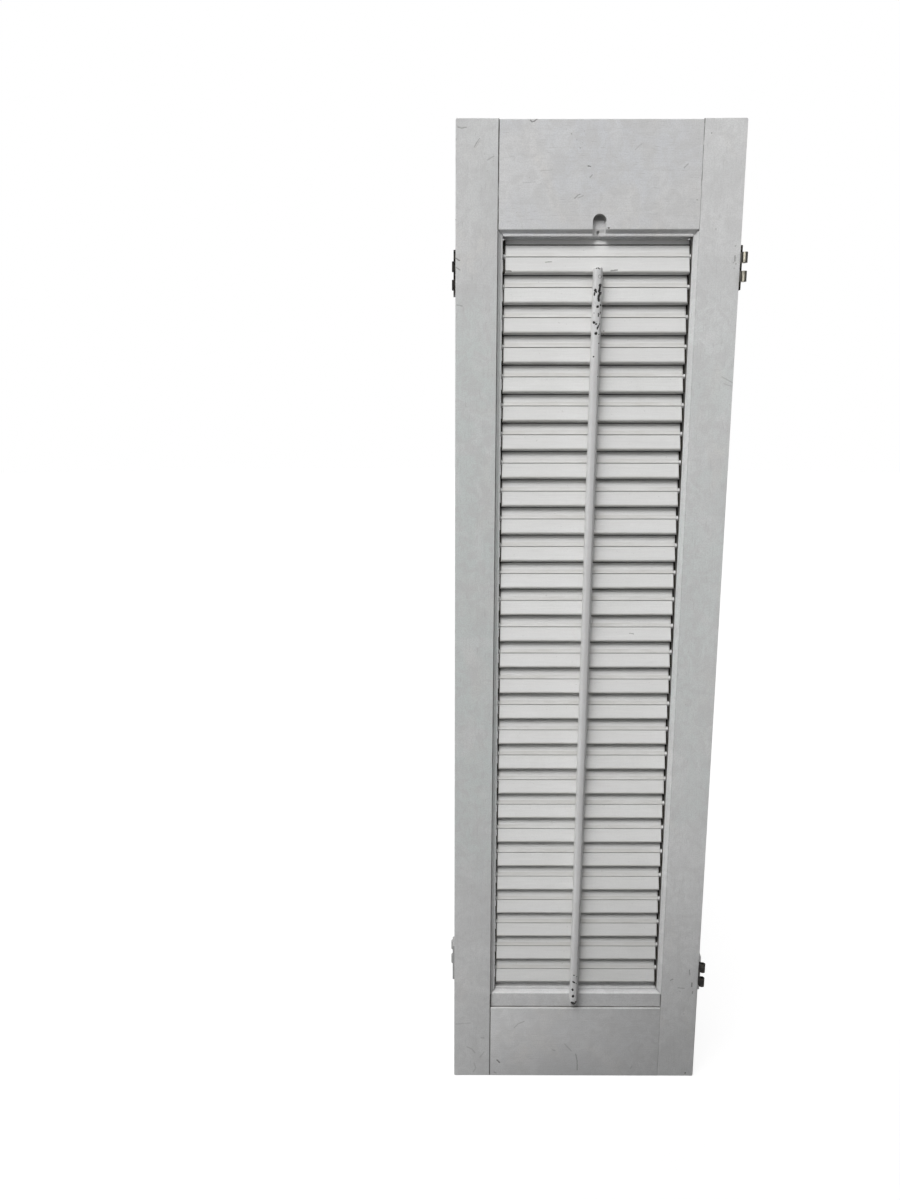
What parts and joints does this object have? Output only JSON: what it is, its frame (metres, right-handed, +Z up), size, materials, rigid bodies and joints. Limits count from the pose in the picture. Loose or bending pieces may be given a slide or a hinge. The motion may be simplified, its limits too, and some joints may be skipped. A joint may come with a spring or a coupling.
{
  "type": "louvered wooden shutter panel",
  "caption": "Tall painted wooden shutter panel with stiles, rails, tilting louvers linked by a front tilt rod, and loose-pin hinge leaves on both edges.",
  "frame": {"origin": "middle of the panel's bottom edge, halfway through its thickness", "axes": "+X to the right seen from the front, the front face looks along -Y, +Z up along the stiles"},
  "size_m": [0.2628, 0.0318, 0.943],
  "materials": {
    "painted_frame": "old satin grey-white paint with fine scratches",
    "painted_louver": "old satin off-white paint",
    "painted_rod": "old satin off-white paint with dark chips",
    "staple_wire": "dull wire, partly painted over",
    "hinge_steel": "dark plated steel worn to a brassy sheen",
    "hinge_dark": "blackened steel",
    "hinge_painted": "painted over with the panel",
    "screw_steel": "dull steel",
    "bare_wood": "bare wood"
  },
  "bodies": {
    "frame": {"left_stile": "painted_frame", "right_stile": "painted_frame", "top_rail": "painted_frame", "bottom_rail": "painted_frame", "hinge_leaf_top_right": "hinge_steel", "hinge_leaf_bottom_right": "hinge_dark", "hinge_leaf_top_left": "hinge_dark", "hinge_leaf_bottom_left": "hinge_painted", "hinge_screws": "screw_steel", "frame_dowels": "bare_wood"},
    "louver_01": {"louver_01": "painted_louver"},
    "louver_02": {"louver_02": "painted_louver"},
    "louver_03": {"louver_03": "painted_louver"},
    "louver_04": {"louver_04": "painted_louver"},
    "louver_05": {"louver_05": "painted_louver"},
    "louver_06": {"louver_06": "painted_louver"},
    "louver_07": {"louver_07": "painted_louver"},
    "louver_08": {"louver_08": "painted_louver"},
    "louver_09": {"louver_09": "painted_louver"},
    "louver_10": {"louver_10": "painted_louver"},
    "louver_11": {"louver_11": "painted_louver"},
    "louver_12": {"louver_12": "painted_louver"},
    "louver_13": {"louver_13": "painted_louver"},
    "louver_14": {"louver_14": "painted_louver"},
    "louver_15": {"louver_15": "painted_louver"},
    "louver_16": {"louver_16": "painted_louver"},
    "louver_17": {"louver_17": "painted_louver"},
    "louver_18": {"louver_18": "painted_louver"},
    "louver_19": {"louver_19": "painted_louver"},
    "louver_20": {"louver_20": "painted_louver"},
    "louver_21": {"louver_21": "painted_louver"},
    "louver_22": {"louver_22": "painted_louver"},
    "louver_23": {"louver_23": "painted_louver"},
    "louver_24": {"louver_24": "painted_louver"},
    "louver_25": {"louver_25": "painted_louver"},
    "louver_26": {"louver_26": "painted_louver"},
    "louver_27": {"louver_27": "painted_louver"},
    "louver_28": {"louver_28": "painted_louver"},
    "tilt_rod": {"tilt_rod": "painted_rod", "rod_staples": "staple_wire"}
  },
  "joints": [
    {"name": "louver_01_tilt", "type": "hinge", "parent": "frame", "child": "louver_01", "pos_m": [0, 0, 0.8298], "axis": [-1, 0, 0], "range_deg": [0, 153.97]},
    {"name": "louver_02_tilt", "type": "hinge", "parent": "frame", "child": "louver_02", "pos_m": [0, 0, 0.8036], "axis": [-1, 0, 0], "range_deg": [0, 153.97]},
    {"name": "louver_03_tilt", "type": "hinge", "parent": "frame", "child": "louver_03", "pos_m": [0, 0, 0.7774], "axis": [-1, 0, 0], "range_deg": [0, 153.97]},
    {"name": "louver_04_tilt", "type": "hinge", "parent": "frame", "child": "louver_04", "pos_m": [0, 0, 0.7512], "axis": [-1, 0, 0], "range_deg": [0, 153.97]},
    {"name": "louver_05_tilt", "type": "hinge", "parent": "frame", "child": "louver_05", "pos_m": [0, 0, 0.725], "axis": [-1, 0, 0], "range_deg": [0, 153.97]},
    {"name": "louver_06_tilt", "type": "hinge", "parent": "frame", "child": "louver_06", "pos_m": [0, 0, 0.6988], "axis": [-1, 0, 0], "range_deg": [0, 153.97]},
    {"name": "louver_07_tilt", "type": "hinge", "parent": "frame", "child": "louver_07", "pos_m": [0, 0, 0.6726], "axis": [-1, 0, 0], "range_deg": [0, 153.97]},
    {"name": "louver_08_tilt", "type": "hinge", "parent": "frame", "child": "louver_08", "pos_m": [0, 0, 0.6464], "axis": [-1, 0, 0], "range_deg": [0, 153.97]},
    {"name": "louver_09_tilt", "type": "hinge", "parent": "frame", "child": "louver_09", "pos_m": [0, 0, 0.6202], "axis": [-1, 0, 0], "range_deg": [0, 153.97]},
    {"name": "louver_10_tilt", "type": "hinge", "parent": "frame", "child": "louver_10", "pos_m": [0, 0, 0.594], "axis": [-1, 0, 0], "range_deg": [0, 153.97]},
    {"name": "louver_11_tilt", "type": "hinge", "parent": "frame", "child": "louver_11", "pos_m": [0, 0, 0.5678], "axis": [-1, 0, 0], "range_deg": [0, 153.97]},
    {"name": "louver_12_tilt", "type": "hinge", "parent": "frame", "child": "louver_12", "pos_m": [0, 0, 0.5416], "axis": [-1, 0, 0], "range_deg": [0, 153.97]},
    {"name": "louver_13_tilt", "type": "hinge", "parent": "frame", "child": "louver_13", "pos_m": [0, 0, 0.5154], "axis": [-1, 0, 0], "range_deg": [0, 153.97]},
    {"name": "louver_14_tilt", "type": "hinge", "parent": "frame", "child": "louver_14", "pos_m": [0, 0, 0.4892], "axis": [-1, 0, 0], "range_deg": [0, 153.97]},
    {"name": "louver_15_tilt", "type": "hinge", "parent": "frame", "child": "louver_15", "pos_m": [0, 0, 0.463], "axis": [-1, 0, 0], "range_deg": [0, 153.97]},
    {"name": "louver_16_tilt", "type": "hinge", "parent": "frame", "child": "louver_16", "pos_m": [0, 0, 0.4368], "axis": [-1, 0, 0], "range_deg": [0, 153.97]},
    {"name": "louver_17_tilt", "type": "hinge", "parent": "frame", "child": "louver_17", "pos_m": [0, 0, 0.4106], "axis": [-1, 0, 0], "range_deg": [0, 153.97]},
    {"name": "louver_18_tilt", "type": "hinge", "parent": "frame", "child": "louver_18", "pos_m": [0, 0, 0.3844], "axis": [-1, 0, 0], "range_deg": [0, 153.97]},
    {"name": "louver_19_tilt", "type": "hinge", "parent": "frame", "child": "louver_19", "pos_m": [0, 0, 0.3582], "axis": [-1, 0, 0], "range_deg": [0, 153.97]},
    {"name": "louver_20_tilt", "type": "hinge", "parent": "frame", "child": "louver_20", "pos_m": [0, 0, 0.332], "axis": [-1, 0, 0], "range_deg": [0, 153.97]},
    {"name": "louver_21_tilt", "type": "hinge", "parent": "frame", "child": "louver_21", "pos_m": [0, 0, 0.3058], "axis": [-1, 0, 0], "range_deg": [0, 153.97]},
    {"name": "louver_22_tilt", "type": "hinge", "parent": "frame", "child": "louver_22", "pos_m": [0, 0, 0.2796], "axis": [-1, 0, 0], "range_deg": [0, 153.97]},
    {"name": "louver_23_tilt", "type": "hinge", "parent": "frame", "child": "louver_23", "pos_m": [0, 0, 0.2534], "axis": [-1, 0, 0], "range_deg": [0, 153.97]},
    {"name": "louver_24_tilt", "type": "hinge", "parent": "frame", "child": "louver_24", "pos_m": [0, 0, 0.2272], "axis": [-1, 0, 0], "range_deg": [0, 153.97]},
    {"name": "louver_25_tilt", "type": "hinge", "parent": "frame", "child": "louver_25", "pos_m": [0, 0, 0.201], "axis": [-1, 0, 0], "range_deg": [0, 153.97]},
    {"name": "louver_26_tilt", "type": "hinge", "parent": "frame", "child": "louver_26", "pos_m": [0, 0, 0.1748], "axis": [-1, 0, 0], "range_deg": [0, 153.97]},
    {"name": "louver_27_tilt", "type": "hinge", "parent": "frame", "child": "louver_27", "pos_m": [0, 0, 0.1486], "axis": [-1, 0, 0], "range_deg": [0, 153.97]},
    {"name": "louver_28_tilt", "type": "hinge", "parent": "frame", "child": "louver_28", "pos_m": [0, 0, 0.1224], "axis": [-1, 0, 0], "range_deg": [0, 153.97]},
    {"name": "rod_swing", "type": "hinge", "parent": "louver_01", "child": "tilt_rod", "pos_m": [0, -0.00428, 0.81129], "axis": [-1, 0, 0], "range_deg": [-153.97, 0]}
  ],
  "couplings": [
    {"joint": "louver_02_tilt", "follows": "louver_01_tilt", "ratio": 1},
    {"joint": "louver_03_tilt", "follows": "louver_01_tilt", "ratio": 1},
    {"joint": "louver_04_tilt", "follows": "louver_01_tilt", "ratio": 1},
    {"joint": "louver_05_tilt", "follows": "louver_01_tilt", "ratio": 1},
    {"joint": "louver_06_tilt", "follows": "louver_01_tilt", "ratio": 1},
    {"joint": "louver_07_tilt", "follows": "louver_01_tilt", "ratio": 1},
    {"joint": "louver_08_tilt", "follows": "louver_01_tilt", "ratio": 1},
    {"joint": "louver_09_tilt", "follows": "louver_01_tilt", "ratio": 1},
    {"joint": "louver_10_tilt", "follows": "louver_01_tilt", "ratio": 1},
    {"joint": "louver_11_tilt", "follows": "louver_01_tilt", "ratio": 1},
    {"joint": "louver_12_tilt", "follows": "louver_01_tilt", "ratio": 1},
    {"joint": "louver_13_tilt", "follows": "louver_01_tilt", "ratio": 1},
    {"joint": "louver_14_tilt", "follows": "louver_01_tilt", "ratio": 1},
    {"joint": "louver_15_tilt", "follows": "louver_01_tilt", "ratio": 1},
    {"joint": "louver_16_tilt", "follows": "louver_01_tilt", "ratio": 1},
    {"joint": "louver_17_tilt", "follows": "louver_01_tilt", "ratio": 1},
    {"joint": "louver_18_tilt", "follows": "louver_01_tilt", "ratio": 1},
    {"joint": "louver_19_tilt", "follows": "louver_01_tilt", "ratio": 1},
    {"joint": "louver_20_tilt", "follows": "louver_01_tilt", "ratio": 1},
    {"joint": "louver_21_tilt", "follows": "louver_01_tilt", "ratio": 1},
    {"joint": "louver_22_tilt", "follows": "louver_01_tilt", "ratio": 1},
    {"joint": "louver_23_tilt", "follows": "louver_01_tilt", "ratio": 1},
    {"joint": "louver_24_tilt", "follows": "louver_01_tilt", "ratio": 1},
    {"joint": "louver_25_tilt", "follows": "louver_01_tilt", "ratio": 1},
    {"joint": "louver_26_tilt", "follows": "louver_01_tilt", "ratio": 1},
    {"joint": "louver_27_tilt", "follows": "louver_01_tilt", "ratio": 1},
    {"joint": "louver_28_tilt", "follows": "louver_01_tilt", "ratio": 1},
    {"joint": "rod_swing", "follows": "louver_01_tilt", "ratio": -1}
  ]
}
